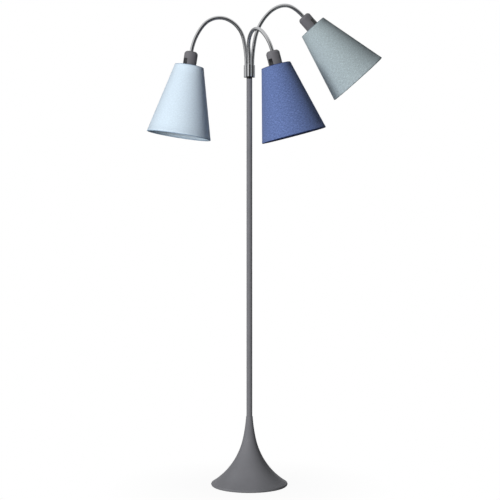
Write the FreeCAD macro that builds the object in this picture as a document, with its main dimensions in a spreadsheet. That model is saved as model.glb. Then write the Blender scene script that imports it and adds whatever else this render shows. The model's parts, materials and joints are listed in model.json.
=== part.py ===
"""Tree floor lamp: a trumpet base and pole carrying three gooseneck arms with fabric shades.

Millimetres, +Z up. The origin is on the floor under the pole, -Y is the side the lamp is seen from.
Every size that can be changed is one cell of the sheet, and every piece is drawn from those cells.
"""
import FreeCAD, Part
import math
import os
import Sketcher

V = FreeCAD.Vector
doc = FreeCAD.newDocument("tree_floor_lamp")

# ---------------------------------------------------------------- driving sizes, in millimetres and degrees
SIZES = {
    # spun steel foot
    "base_radius": 119.2, "rim_radius": 4.5, "base_lift": 1.0, "base_wall": 1.1,
    "neck_radius": 10.2, "neck_height": 216.0, "neck_curve": 490.0,
    "waist_radius": 20.0, "waist_height": 147.5,
    # what the foot holds
    "pad_thickness": 1.2, "pad_inset": 11.2,
    "plate_thickness": 1.2, "plate_gap": 0.3,
    "weight_inset": 15.2, "weight_edge": 6.6, "weight_top_inset": 31.2, "weight_height": 22.0,
    "nut_room": 14.0, "nut_room_depth": 9.0,
    "tie_radius": 5.0, "tie_bore": 3.4, "tie_clearance": 0.2, "tie_end": 1.8, "tie_grip": 18.0,
    "washer_radius": 11.0, "washer_thickness": 1.6, "nut_radius": 8.7, "nut_height": 5.0,
    "spacer_radius": 7.0, "seat_depth": 40.0, "seat_thickness": 12.0, "seat_gap": 0.1,
    "outlet_radius": 4.8, "outlet_bore": 3.2, "outlet_floor": 1.6, "outlet_stand": 1.4, "outlet_gap": 0.5,
    # pole and its end fittings
    "pole_radius": 9.0, "pole_wall": 1.2, "pole_top": 1269.1, "insert_length": 20.0,
    "plug_flange": 6.2, "plug_length": 14.0, "core_radius": 2.95,
    "wire_hole": 1.7, "wire_pitch": 6.6,
    # chrome sleeves
    "sleeve_radius": 8.0, "sleeve_length": 37.8, "sleeve_pitch": 11.0, "sleeve_bore": 4.5, "sleeve_edge": 0.6,
    # gooseneck tube
    "tube_radius": 5.75, "tube_bore": 4.0, "joint_gap": 0.3, "pivot_rise": 1.9,
    # lampholder
    "cap_radius": 21.0, "cap_length": 52.0, "cap_wall": 2.0, "cap_top": 3.0,
    "cap_round": 12.0, "cap_round_width": 6.0, "cap_round_depth": 8.0,
    "boss_radius": 8.0, "boss_depth": 11.0,
    "nipple_radius": 5.0, "nipple_bore": 2.6, "nipple_spigot": 8.0, "nipple_thread": 13.0,
    "window_width": 14.5, "window_start": 23.0, "window_end": 45.0, "pocket_floor": 10.0, "pocket_wall": 2.0,
    "pocket_face": 18.0,
    "rocker_width": 10.4, "rocker_length": 20.4, "rocker_back": 3.0, "rocker_tip": 4.6, "rocker_waist": 3.4,
    "axle_radius": 1.5, "axle_reach": 14.5, "axle_end_gap": 0.15, "rocker_rest": 6.0,
    "skirt_radius": 19.5, "skirt_bore": 17.9, "skirt_start": 48.0, "skirt_end": 84.0,
    "flange_thickness": 2.0, "skirt_lip": 14.4, "skirt_lip_depth": 1.6,
    "insert_radius": 17.7, "insert_start": 48.5, "insert_floor": 5.5, "insert_bore": 13.35, "insert_end": 82.1,
    "contact_radius": 3.0, "contact_height": 2.0,
    "ring_radius": 25.5, "ring_height": 7.0, "thread_gap": 0.1, "fit": 0.05,
    # bulb
    "bulb_tip": 56.3, "bulb_cap_radius": 13.0, "bulb_cap_end": 82.0, "bulb_radius": 30.0, "bulb_centre": 135.0,
    "bulb_wall": 1.0, "tip_radius": 5.0, "tip_height": 2.5,
    # shade
    "shade_start": 45.0, "shade_height": 218.2, "shade_top_radius": 45.1, "shade_bottom_radius": 100.2,
    "shade_wall": 1.0, "top_wire": 1.2, "bottom_wire": 1.5, "wire_gap": 0.1, "wire_inset": 1.6,
    "fitter_thickness": 1.2, "fitter_bore": 19.8, "fitter_radius": 24.5, "spoke_radius": 1.4,
}
# Each arm is four tangent arcs: length, bend, and the compass heading that the arc bends towards
# (0 is +X, 90 is +Y, carried along the tube without twist).
ARMS = {
    "left": {"length": (80.5, 79.1, 88.1, 88.6), "bend": (13.3, 56.2, 74.2, 30.6),
             "heading": (-164.4, -159.9, -176.5, -154.8), "sleeve_at": 150.0, "window_at": 228.0},
    "front": {"length": (46.4, 61.9, 56.4, 72.0), "bend": (16.3, 53.9, 71.3, 40.2),
              "heading": (-109.0, -57.0, -53.3, -56.0), "sleeve_at": -90.0, "window_at": 228.0},
    "right": {"length": (82.8, 90.7, 89.2, 53.9), "bend": (19.7, 38.8, 63.3, 51.2),
              "heading": (-52.1, 28.0, 43.9, -19.1), "sleeve_at": 30.0, "window_at": -40.0},
}

sheet = doc.addObject("Spreadsheet::Sheet", "Sizes")


class Size:
    """A length that carries its value and the sheet expression it is worked out from."""

    def __init__(self, value, text):
        self.value = value
        self.text = text

    def __add__(self, other):
        other = as_size(other)
        return Size(self.value + other.value, "(%s + %s)" % (self.text, other.text))

    def __sub__(self, other):
        other = as_size(other)
        return Size(self.value - other.value, "(%s - %s)" % (self.text, other.text))

    def __mul__(self, other):
        other = as_size(other)
        return Size(self.value * other.value, "(%s * %s)" % (self.text, other.text))

    def __truediv__(self, other):
        other = as_size(other)
        return Size(self.value / other.value, "(%s / %s)" % (self.text, other.text))

    def root(self):
        return Size(math.sqrt(self.value), "sqrt(%s)" % self.text)


def as_size(number):
    return number if isinstance(number, Size) else Size(float(number), "%.6f" % number)


def fill_sheet():
    """Write the sizes into the sheet and return them by name."""
    cells = dict(SIZES)
    for arm, shape in ARMS.items():
        for key in ("length", "bend", "heading"):
            for number, value in enumerate(shape[key], start=1):
                cells["%s_%s_%s" % (arm, key, "abcd"[number - 1])] = value
        cells[arm + "_sleeve_at"] = shape["sleeve_at"]
        cells[arm + "_window_at"] = shape["window_at"]
    sizes = {}
    for row, (name, value) in enumerate(cells.items(), start=1):
        sheet.set("A%d" % row, name)
        sheet.set("B%d" % row, str(value))
        sheet.setAlias("B%d" % row, name)
        sizes[name] = Size(value, "Sizes." + name)
    doc.recompute()
    return sizes


S = fill_sheet()
ZERO = Size(0.0, "0")
WEIGHT_RADIUS = S["base_radius"] - S["weight_inset"]


# ---------------------------------------------------------------- ways to make a piece
def arc_centre(first, last, radius):
    """Centre of the arc from first to last, on the left of the way travelled when radius is positive."""
    chord = last - first
    half = chord.Length / 2
    left = V(-chord.y, chord.x, 0).normalize()
    return (first + last) / 2 + left * math.copysign(math.sqrt(radius * radius - half * half), radius)


def draw(sketch, outline):
    """Closed outline of (across, along) corners, each pinned to the sheet.

    A third value is the radius of an arc that arrives at the corner, positive when it turns left.
    An arc that ends on the axis has its centre there too, so that it turns into a ball.
    """
    points = [V(corner[0].value, corner[1].value, 0) for corner in outline]
    edges = []
    for number, corner in enumerate(outline):
        first, last = points[number - 1], points[number]
        if len(corner) == 3:
            radius = corner[2].value
            centre = arc_centre(first, last, radius)
            ends = (first, last) if radius > 0 else (last, first)
            angles = [math.atan2(end.y - centre.y, end.x - centre.x) for end in ends]
            circle = Part.Circle(centre, V(0, 0, 1), abs(radius))
            edge = sketch.addGeometry(Part.ArcOfCircle(circle, *angles))
            edges.append((edge, 1, 2) if radius > 0 else (edge, 2, 1))
        else:
            edges.append((sketch.addGeometry(Part.LineSegment(first, last)), 1, 2))
    for number, (edge, first, last) in enumerate(edges):
        after, start = edges[(number + 1) % len(edges)][:2]
        sketch.addConstraint(Sketcher.Constraint("Coincident", edge, last, after, start))
        corner = outline[number]
        for kind, axis, size in (("DistanceX", -2, corner[0]), ("DistanceY", -1, corner[1])):
            if size is ZERO:
                sketch.addConstraint(Sketcher.Constraint("PointOnObject", edge, last, axis))
            else:
                pin(sketch, Sketcher.Constraint(kind, -1, 1, edge, last, size.value), size)
        if len(corner) == 3:
            if corner[0] is ZERO or outline[number - 1][0] is ZERO:
                sketch.addConstraint(Sketcher.Constraint("PointOnObject", edge, 3, -2))
            else:
                radius = corner[2] if corner[2].value > 0 else ZERO - corner[2]
                pin(sketch, Sketcher.Constraint("Radius", edge, radius.value), radius)


def pin(sketch, constraint, size):
    sketch.setExpression("Constraints[%d]" % sketch.addConstraint(constraint), size.text)


def bind(item, **sizes):
    for name, size in sizes.items():
        item.setExpression(name, as_size(size).text)
    return item


def new_body(name):
    body = doc.addObject("PartDesign::Body", name)
    body.Label = name
    return body


def new_sketch(body, plane, name, offset=0.0):
    sketch = body.newObject("Sketcher::SketchObject", name)
    support = [item for item in body.Origin.OriginFeatures if item.Role == plane][0]
    sketch.AttachmentSupport = (support, [""])
    sketch.MapMode = "FlatFace"
    sketch.AttachmentOffset = FreeCAD.Placement(V(0, 0, offset), FreeCAD.Rotation())
    return sketch


def turned(name, outline, place=None):
    """A piece turned about its own Z axis."""
    body = new_body(name)
    sketch = new_sketch(body, "XZ_Plane", name + "_outline")
    draw(sketch, outline)
    turn = body.newObject("PartDesign::Revolution", name + "_turn")
    turn.Profile = sketch
    turn.ReferenceAxis = (sketch, ["V_Axis"])
    turn.Angle = 360
    body.Tip = turn
    if place:
        body.Placement = place
    return body


def tube(name, inner, outer, low, high, place=None):
    """A turned ring between two heights."""
    return turned(name, [(inner, low), (outer, low), (outer, high), (inner, high)], place)


def rectangle(across, low, high, shift):
    """Corners of a rectangle centred across the axis and moved sideways by shift to stay positive."""
    near, far = shift - across / 2, shift + across / 2
    return [(near, low), (far, low), (far, high), (near, high)]


def primitive(kind, name, place, **sizes):
    item = bind(doc.addObject("Part::" + kind, name), **sizes)
    item.Placement = place
    return item


def combine(kind, name, first, second):
    item = doc.addObject("Part::" + kind, name)
    if kind in ("Cut", "Common"):
        item.Base, item.Tool = first, second
    else:
        item.Shapes = [first, second]
    item.Label = name
    return item


def at(x=0.0, y=0.0, z=0.0, axis=V(0, 0, 1), angle=0.0):
    return FreeCAD.Placement(V(x, y, z), FreeCAD.Rotation(axis, angle))


def featured(name, shape, place=None):
    item = doc.addObject("Part::Feature", name)
    item.Label = name
    item.Shape = shape
    if place:
        item.Placement = place
    return item


# ---------------------------------------------------------------- foot
def flare():
    """Corners and radii of the trumpet: neck arc, flare arc and rolled rim, each tangent to the next."""
    neck = V(S["neck_radius"].value, S["neck_height"].value, 0)
    waist = V(S["waist_radius"].value, S["waist_height"].value, 0)
    rim_radius = S["rim_radius"].value
    rim = V(S["base_radius"].value - rim_radius, S["base_lift"].value + rim_radius, 0)
    neck_centre = arc_centre(neck, waist, S["neck_curve"].value)
    towards = (neck_centre - waist).normalize()
    span = waist - rim
    radius = (rim_radius ** 2 - span.Length ** 2) / (2 * (span.dot(towards) - rim_radius))
    centre = waist + towards * radius
    touch = rim + (centre - rim).normalize() * rim_radius
    return neck, waist, rim, neck_centre, radius, centre, touch


def bore_at(height):
    """Inner radius of the trumpet's neck arc at a height."""
    neck_centre = flare()[3]
    curve = S["neck_curve"].value + S["base_wall"].value
    return neck_centre.x - math.sqrt(curve ** 2 - (height - neck_centre.y) ** 2)


def make_base_shell():
    """Trumpet spun from one sheet: outside arcs, and inside arcs about the same centres."""
    neck, waist, rim, neck_centre, radius, centre, touch = flare()
    wall = S["base_wall"]
    body = new_body("base_spinning")
    sketch = new_sketch(body, "XZ_Plane", "base_outline")
    up = V(0, 0, 1)

    def arc(middle, size, first, last):
        angles = [math.atan2(end.y - middle.y, end.x - middle.x) for end in (first, last)]
        return sketch.addGeometry(Part.ArcOfCircle(Part.Circle(middle, up, size), *angles))

    def off(middle, point, more):
        return middle + (point - middle).normalize() * ((point - middle).Length + more)

    def line(first, last):
        return sketch.addGeometry(Part.LineSegment(first, last))

    thin = wall.value
    under = V(rim.x, rim.y - S["rim_radius"].value, 0)
    inner_under = off(rim, under, -thin)
    inner_touch = off(rim, touch, -thin)
    inner_waist = off(neck_centre, waist, thin)
    curve = S["neck_curve"].value + thin
    inner_neck = V(neck_centre.x - math.sqrt(curve ** 2 - (neck.y - neck_centre.y) ** 2), neck.y, 0)
    neck_arc = arc(neck_centre, S["neck_curve"].value, neck, waist)
    flare_arc = arc(centre, radius, waist, touch)
    rim_arc = arc(rim, S["rim_radius"].value, under, touch)
    inner_neck_arc = arc(neck_centre, curve, inner_neck, inner_waist)
    inner_flare_arc = arc(centre, radius + thin, inner_waist, inner_touch)
    inner_rim_arc = arc(rim, S["rim_radius"].value - thin, inner_under, inner_touch)
    edge = line(inner_under, under)
    top = line(inner_neck, neck)
    join = Sketcher.Constraint
    for constraint in (
            join("Tangent", neck_arc, 2, flare_arc, 1), join("Tangent", flare_arc, 2, rim_arc, 2),
            join("Tangent", inner_neck_arc, 2, inner_flare_arc, 1),
            join("Tangent", inner_flare_arc, 2, inner_rim_arc, 2),
            join("Coincident", neck_arc, 3, inner_neck_arc, 3), join("Coincident", flare_arc, 3, inner_flare_arc, 3),
            join("Coincident", rim_arc, 3, inner_rim_arc, 3),
            join("Coincident", edge, 1, inner_rim_arc, 1), join("Coincident", edge, 2, rim_arc, 1),
            join("Coincident", top, 1, inner_neck_arc, 1), join("Coincident", top, 2, neck_arc, 1),
            join("Horizontal", top), join("Vertical", edge), join("Vertical", rim_arc, 3, rim_arc, 1)):
        sketch.addConstraint(constraint)
    for kind, item, spot, size in (
            ("DistanceX", neck_arc, 1, S["neck_radius"]), ("DistanceY", neck_arc, 1, S["neck_height"]),
            ("DistanceX", neck_arc, 2, S["waist_radius"]), ("DistanceY", neck_arc, 2, S["waist_height"]),
            ("DistanceX", rim_arc, 3, S["base_radius"] - S["rim_radius"]),
            ("DistanceY", rim_arc, 3, S["base_lift"] + S["rim_radius"])):
        pin(sketch, join(kind, -1, 1, item, spot, size.value), size)
    for item, size in ((neck_arc, S["neck_curve"]), (inner_neck_arc, S["neck_curve"] + wall),
                       (rim_arc, S["rim_radius"])):
        pin(sketch, join("Radius", item, size.value), size)
    turn = body.newObject("PartDesign::Revolution", "base_turn")
    turn.Profile = sketch
    turn.ReferenceAxis = (sketch, ["V_Axis"])
    turn.Angle = 360
    body.Tip = turn
    notch = outlet_arch("outlet_notch", S["outlet_radius"] + S["fit"], ZERO, WEIGHT_RADIUS)
    return combine("Cut", "base_shell", body, notch)


def outlet_height():
    return S["pad_thickness"] + S["plate_thickness"] + S["outlet_floor"] + S["outlet_bore"]


def outlet_arch(name, radius, low, start):
    """Arch-shaped bar at the back of the rim, along +Y, from its flat foot to its round top."""
    height = outlet_height()
    length = S["base_radius"] - start + S["outlet_stand"]
    bar = primitive("Cylinder", name + "_round", at(0, start.value, height.value, V(1, 0, 0), -90),
                    Radius=radius, Height=length)
    block = primitive("Box", name + "_block", at(-radius.value, start.value, low.value),
                      Length=radius * 2, Width=length, Height=height - low)
    return combine("MultiFuse", name, bar, block)


def make_outlet():
    """Bush that lines the cord's way out under the back of the rim."""
    start = WEIGHT_RADIUS + S["outlet_gap"]
    arch = outlet_arch("outlet_blank", S["outlet_radius"], S["pad_thickness"] + S["plate_thickness"], start)
    bore = primitive("Cylinder", "outlet_drill", at(0, start.value, outlet_height().value, V(1, 0, 0), -90),
                     Radius=S["outlet_bore"], Height=S["base_radius"] - start + S["outlet_stand"])
    return combine("Cut", "cord_outlet_bush", arch, bore)


def make_foot():
    """Everything that the trumpet hides, stacked on the tie tube from the floor up."""
    plate_low = S["pad_thickness"]
    weight_low = plate_low + S["plate_thickness"]
    weight_top = weight_low + S["weight_height"]
    nut_ceiling = weight_low + S["nut_room_depth"]
    tie_hole = S["tie_radius"] + S["tie_clearance"]
    seat_low = S["neck_height"] - S["seat_depth"]
    seat_top = seat_low + S["seat_thickness"]
    washer_low = nut_ceiling - S["washer_thickness"]
    nut_low = washer_low - S["nut_height"]
    tie_low = nut_low - S["tie_end"]
    mouth = S["base_radius"] - S["rim_radius"] - S["plate_gap"]
    pad = S["base_radius"] - S["pad_inset"]
    pieces = [
        turned("base_pad", [(ZERO, ZERO), (pad, ZERO), (pad, plate_low), (ZERO, plate_low)]),
        tube("base_plate", S["nut_room"], mouth, plate_low, weight_low),
        turned("base_weight", [
            (S["nut_room"], weight_low), (WEIGHT_RADIUS, weight_low),
            (WEIGHT_RADIUS, weight_low + S["weight_edge"]), (S["base_radius"] - S["weight_top_inset"], weight_top),
            (tie_hole, weight_top), (tie_hole, nut_ceiling), (S["nut_room"], nut_ceiling)]),
        tube("tie_washer", tie_hole, S["washer_radius"], washer_low, nut_ceiling),
        tube("tie_tube", S["tie_bore"], S["tie_radius"], tie_low, seat_top + S["tie_grip"]),
        tube("spacer_tube", tie_hole, S["spacer_radius"], weight_top, seat_low),
    ]
    low_edge = bore_at(seat_low.value) - S["seat_gap"].value
    high_edge = bore_at(seat_top.value) - S["seat_gap"].value
    pieces.append(turned("pole_seat", [
        (tie_hole, seat_low), (as_size(low_edge), seat_low),
        (as_size(high_edge), seat_top), (tie_hole, seat_top)]))
    hexagon = primitive("Prism", "tie_nut_blank", at(z=nut_low.value),
                        Circumradius=S["nut_radius"], Height=S["nut_height"])
    hole = primitive("Cylinder", "tie_nut_hole", at(z=nut_low.value),
                     Radius=S["tie_radius"] + S["fit"], Height=S["nut_height"])
    pieces.append(combine("Cut", "tie_nut", hexagon, hole))
    return pieces + [make_base_shell(), make_outlet()]


# ---------------------------------------------------------------- pole and hub
def make_pole():
    seat_top = S["neck_height"] - S["seat_depth"] + S["seat_thickness"]
    inside = S["pole_radius"] - S["pole_wall"]
    top = S["pole_top"]
    core_hole = S["core_radius"] + S["fit"]
    plug_low = top - S["plug_length"]
    plug_top = top + S["plug_flange"]
    plug = turned("plug_blank", [
        (core_hole, plug_low), (inside - S["fit"], plug_low), (inside - S["fit"], top),
        (S["pole_radius"], top), (S["pole_radius"], plug_top), (core_hole, plug_top)])
    drills = []
    for arm, shape in ARMS.items():
        spot = math.radians(shape["sleeve_at"])
        pitch = S["wire_pitch"].value
        drills.append(primitive("Cylinder", arm + "_wire_drill",
                                at(pitch * math.cos(spot), pitch * math.sin(spot), plug_low.value),
                                Radius=S["wire_hole"], Height=S["plug_length"] + S["plug_flange"]))
    drill_set = doc.addObject("Part::Compound", "wire_drills")
    drill_set.Links = drills
    return [
        tube("pole", inside, S["pole_radius"], seat_top, top),
        tube("pole_insert", S["tie_radius"] + S["fit"], inside - S["fit"], seat_top, seat_top + S["insert_length"]),
        combine("Cut", "pole_plug", plug, drill_set),
        turned("hub_core", [(ZERO, plug_low), (S["core_radius"], plug_low),
                            (S["core_radius"], plug_top + S["sleeve_length"] - S["core_radius"]),
                            (ZERO, plug_top + S["sleeve_length"] - S["core_radius"])]),
    ]


def foot_of(arm):
    """Pivot of an arm's first bend, just above its sleeve."""
    spot = math.radians(ARMS[arm]["sleeve_at"])
    height = S["pole_top"] + S["plug_flange"] + S["sleeve_length"] + S["pivot_rise"]
    pitch = S["sleeve_pitch"].value
    return V(pitch * math.cos(spot), pitch * math.sin(spot), height.value)


def make_sleeve(arm):
    """Chrome sleeve with a round seat for the end of the gooseneck."""
    ball = S["tube_radius"] + S["joint_gap"]
    rise = S["pivot_rise"]
    length = S["sleeve_length"]
    mouth = (ball * ball - rise * rise).root()
    depth = (ball * ball - S["sleeve_bore"] * S["sleeve_bore"]).root()
    edge = S["sleeve_edge"]
    foot = foot_of(arm)
    outline = [
        (S["sleeve_bore"], ZERO), (S["sleeve_radius"], ZERO), (S["sleeve_radius"], length - edge),
        (S["sleeve_radius"] - edge, length, edge), (mouth, length),
        (S["sleeve_bore"], length + rise - depth, ZERO - ball)]
    return turned(arm + "_sleeve", outline, at(foot.x, foot.y, foot.z - (length + rise).value))


# ---------------------------------------------------------------- gooseneck arms
def arm_frames(arm):
    """Places along an arm: its foot and the end of each arc, with Z along the tube and X kept untwisted."""
    shape = ARMS[arm]
    turn = FreeCAD.Rotation()
    place = foot_of(arm)
    frames = [FreeCAD.Placement(place, turn)]
    for length, bend, heading in zip(shape["length"], shape["bend"], shape["heading"]):
        swing = math.radians(bend)
        radius = length / swing
        aim = math.radians(heading)
        out = V(math.cos(aim), math.sin(aim), 0)
        local = out * (radius * (1 - math.cos(swing))) + V(0, 0, radius * math.sin(swing))
        place = place + turn.multVec(local)
        turn = turn.multiply(FreeCAD.Rotation(V(0, 0, 1).cross(out), bend))
        frames.append(FreeCAD.Placement(place, turn))
    return frames


def make_arm(arm):
    """Four tube lengths, each with a round end that turns in the cup of the next one.

    The real tube is wound strip that bends all along; here it bends at these four places.
    """
    shape = ARMS[arm]
    radius, bore = S["tube_radius"].value, S["tube_bore"].value
    cup = radius + S["joint_gap"].value
    frames = arm_frames(arm)
    links = []
    count = len(shape["length"])
    for number in range(count):
        start, end = frames[number], frames[number + 1]
        swing = math.radians(shape["bend"][number])
        aim = math.radians(shape["heading"][number])
        out = start.Rotation.multVec(V(math.cos(aim), math.sin(aim), 0))
        along = start.Rotation.multVec(V(0, 0, 1))
        centre = start.Base + out * (shape["length"][number] / swing)
        hinge = along.cross(out)

        def swept(size):
            ring = Part.Wire(Part.makeCircle(size, start.Base, along))
            return Part.Face(ring).revolve(centre, hinge, shape["bend"][number])

        outside, inside = swept(radius), swept(bore)
        onward = end.Rotation.multVec(V(0, 0, 1))
        reach = 2 * radius
        if number == 0:
            outside = outside.fuse(Part.makeSphere(radius, start.Base))
            inside = inside.fuse(Part.makeCylinder(bore, reach, start.Base - along * reach, along))
        else:
            inside = inside.fuse(Part.makeSphere(cup, start.Base))
        if number < count - 1:
            outside = outside.fuse(Part.makeSphere(radius, end.Base))
            inside = inside.fuse(Part.makeCylinder(bore, reach, end.Base, onward))
        link = outside.cut(inside)
        if number == count - 1:
            depth = S["nipple_spigot"].value + S["joint_gap"].value
            link = link.cut(Part.makeCylinder(bore + S["fit"].value, depth * 2, end.Base - onward * depth, onward))
        links.append(featured("%s_arm_%d" % (arm, number + 1), link.removeSplitter()))
    return links


# ---------------------------------------------------------------- lampholders
def head_place(arm):
    """Frame of a head: Z down its axis from the holder's top, X out through the switch."""
    end = arm_frames(arm)[-1]
    down = end.Rotation.multVec(V(0, 0, 1))
    aim = math.radians(ARMS[arm]["window_at"])
    towards = V(math.cos(aim), math.sin(aim), 0)
    out = (towards - down * towards.dot(down)).normalize()
    side = down.cross(out)
    turn = FreeCAD.Rotation(FreeCAD.Matrix(
        out.x, side.x, down.x, 0, out.y, side.y, down.y, 0, out.z, side.z, down.z, 0, 0, 0, 0, 1))
    return FreeCAD.Placement(end.Base, turn)


def make_cap(arm, place):
    """Moulded housing with the switch pocket in its side."""
    inside = S["cap_radius"] - S["cap_wall"]
    hole = S["nipple_radius"] + S["fit"]
    body = turned(arm + "_holder_cap", [
        (hole, ZERO), (S["cap_radius"] - S["cap_round_width"], ZERO),
        (S["cap_radius"], S["cap_round_depth"], S["cap_round"]), (S["cap_radius"], S["cap_length"]),
        (inside, S["cap_length"]), (inside, S["cap_round_depth"] + S["cap_wall"]),
        (inside - S["cap_round_width"], S["cap_top"]), (S["boss_radius"], S["cap_top"]),
        (S["boss_radius"], S["boss_depth"]), (hole, S["boss_depth"])], place)
    wall = S["pocket_wall"]
    shift = S["cap_radius"]
    block_width = S["window_width"] + wall * 2

    def side_sketch(name, across, low, high, distance):
        sketch = new_sketch(body, "YZ_Plane", arm + name)
        draw(sketch, rectangle(across, low, high, shift))
        sketch.AttachmentOffset = at(-shift.value, 0, distance.value)
        sketch.setExpression("AttachmentOffset.Base.x", (ZERO - shift).text)
        sketch.setExpression("AttachmentOffset.Base.z", distance.text)
        return sketch

    floor = S["pocket_floor"]
    block = body.newObject("PartDesign::Pad", arm + "_pocket_block")
    block.Profile = side_sketch("_block_outline", block_width, S["window_start"] - wall,
                                S["window_end"] + wall, floor - wall)
    bind(block, Length=S["pocket_face"] - floor + wall)
    body.Tip = block
    doc.recompute()
    window = body.newObject("PartDesign::Pocket", arm + "_window")
    window.Profile = side_sketch("_window_outline", S["window_width"], S["window_start"], S["window_end"], floor)
    window.Reversed = True
    bind(window, Length=S["cap_radius"])
    body.Tip = window
    doc.recompute()
    sketch = new_sketch(body, "XZ_Plane", arm + "_axle_outline")
    middle = (S["window_start"] + S["window_end"]) / 2
    circle = sketch.addGeometry(Part.Circle(V(S["axle_reach"].value, middle.value, 0), V(0, 0, 1),
                                            S["axle_radius"].value + S["fit"].value))
    pin(sketch, Sketcher.Constraint("DistanceX", -1, 1, circle, 3, S["axle_reach"].value), S["axle_reach"])
    pin(sketch, Sketcher.Constraint("DistanceY", -1, 1, circle, 3, middle.value), middle)
    size = S["axle_radius"] + S["fit"]
    pin(sketch, Sketcher.Constraint("Radius", circle, size.value), size)
    axle = body.newObject("PartDesign::Pocket", arm + "_axle_holes")
    axle.Profile = sketch
    axle.Midplane = True
    bind(axle, Length=block_width + S["fit"])
    body.Tip = axle
    doc.recompute()
    return body


def rocker_place(place):
    middle = (S["window_start"].value + S["window_end"].value) / 2
    swing = FreeCAD.Placement(V(S["axle_reach"].value, 0, middle), FreeCAD.Rotation(V(0, 1, 0), S["rocker_rest"].value))
    return place.multiply(swing)


def make_rocker(arm, place):
    """Rocker with a shallow V face, on an axle that ends in the pocket's walls."""
    body = new_body(arm + "_rocker")
    half = S["rocker_length"] / 2
    back = S["rocker_back"]
    sketch = new_sketch(body, "XZ_Plane", arm + "_rocker_outline")
    draw(sketch, [(ZERO, ZERO), (back + S["rocker_tip"], ZERO), (back + S["rocker_waist"], half),
                  (back + S["rocker_tip"], half * 2), (ZERO, half * 2)])
    key = body.newObject("PartDesign::Pad", arm + "_rocker_key")
    key.Profile = sketch
    key.Midplane = True
    bind(key, Length=S["rocker_width"])
    body.Tip = key
    doc.recompute()
    sketch = new_sketch(body, "XZ_Plane", arm + "_rocker_axle_outline")
    circle = sketch.addGeometry(Part.Circle(V(back.value, half.value, 0), V(0, 0, 1), S["axle_radius"].value))
    pin(sketch, Sketcher.Constraint("DistanceX", -1, 1, circle, 3, back.value), back)
    pin(sketch, Sketcher.Constraint("DistanceY", -1, 1, circle, 3, half.value), half)
    pin(sketch, Sketcher.Constraint("Radius", circle, S["axle_radius"].value), S["axle_radius"])
    axle = body.newObject("PartDesign::Pad", arm + "_rocker_axle")
    axle.Profile = sketch
    axle.Midplane = True
    bind(axle, Length=S["window_width"] + S["pocket_wall"] * 2 - S["axle_end_gap"] * 2)
    body.Tip = axle
    body.Placement = rocker_place(place).multiply(at(-back.value, 0, -half.value))
    return body


def shade_radius(depth):
    """Outer radius of the shade at a depth below the holder's top."""
    slope = (S["shade_bottom_radius"] - S["shade_top_radius"]) / S["shade_height"]
    return S["shade_top_radius"] + slope * (depth - S["shade_start"])


def make_shade_frame(arm, place):
    """Wire frame: top ring, fitter ring and three spokes, and the ring in the lower hem."""
    wall = S["shade_wall"] + S["wire_gap"]
    top_depth = S["shade_start"] + S["wire_inset"]
    low_depth = S["shade_start"] + S["shade_height"] - S["wire_inset"]
    top_ring = shade_radius(top_depth) - wall - S["top_wire"]
    low_ring = shade_radius(low_depth) - wall - S["bottom_wire"]
    fitter_low = S["cap_length"] + S["flange_thickness"]
    wires = [primitive("Torus", arm + "_top_wire", at(z=top_depth.value), Radius1=top_ring, Radius2=S["top_wire"])]
    disc = primitive("Cylinder", arm + "_fitter_disc", at(z=fitter_low.value),
                     Radius=S["fitter_radius"], Height=S["fitter_thickness"])
    hole = primitive("Cylinder", arm + "_fitter_hole", at(z=fitter_low.value),
                     Radius=S["fitter_bore"], Height=S["fitter_thickness"])
    wires.append(combine("Cut", arm + "_fitter", disc, hole))
    low = fitter_low + S["fitter_thickness"] - S["spoke_radius"]
    inner = V(S["fitter_radius"].value - S["spoke_radius"].value, 0, low.value)
    outer = V(top_ring.value, 0, top_depth.value)
    for number in range(3):
        turn = FreeCAD.Placement(V(), FreeCAD.Rotation(V(0, 0, 1), 60 + 120 * number))
        lean = FreeCAD.Rotation(V(0, 0, 1), outer - inner)
        spoke = primitive("Cylinder", "%s_spoke_%d" % (arm, number + 1),
                          turn.multiply(FreeCAD.Placement(inner, lean)), Radius=S["spoke_radius"])
        spoke.Height = (outer - inner).Length
        wires.append(spoke)
    spider = doc.addObject("Part::MultiFuse", arm + "_spider")
    spider.Shapes = wires
    hem = primitive("Torus", arm + "_hem_wire", at(z=low_depth.value), Radius1=low_ring, Radius2=S["bottom_wire"])
    frame = doc.addObject("Part::Compound", arm + "_shade_frame")
    frame.Links = [spider, hem]
    frame.Label = arm + "_shade_frame"
    frame.Placement = place
    return frame


def make_bulb(arm, place):
    """Opal bulb blown as an open pear shape, and its screw cap."""
    neck, radius, centre = S["bulb_cap_radius"], S["bulb_radius"], S["bulb_centre"]
    start = S["bulb_cap_end"]
    wall = S["bulb_wall"]

    def tangent(across, size):
        """Where a line from the neck touches the round end."""
        gap = V(across, start.value - centre.value, 0)
        reach = math.sqrt(gap.Length ** 2 - size ** 2)
        angle = math.atan2(gap.y, gap.x) + math.acos(size / gap.Length)
        return as_size(size * math.cos(angle)), as_size(centre.value + size * math.sin(angle)), reach

    out_x, out_z, _ = tangent(neck.value, radius.value)
    in_x, in_z, _ = tangent(neck.value - wall.value, radius.value - wall.value)
    glass = turned(arm + "_bulb_glass", [
        (neck, start), (out_x, out_z), (ZERO, centre + radius, radius),
        (ZERO, centre + radius - wall), (in_x, in_z, ZERO - (radius - wall)), (neck - wall, start)], place)
    cap = turned(arm + "_bulb_cap", [
        (ZERO, S["bulb_tip"]), (S["tip_radius"], S["bulb_tip"]), (neck, S["bulb_tip"] + S["tip_height"]),
        (neck, start), (ZERO, start)], place)
    return [glass, cap]


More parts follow.
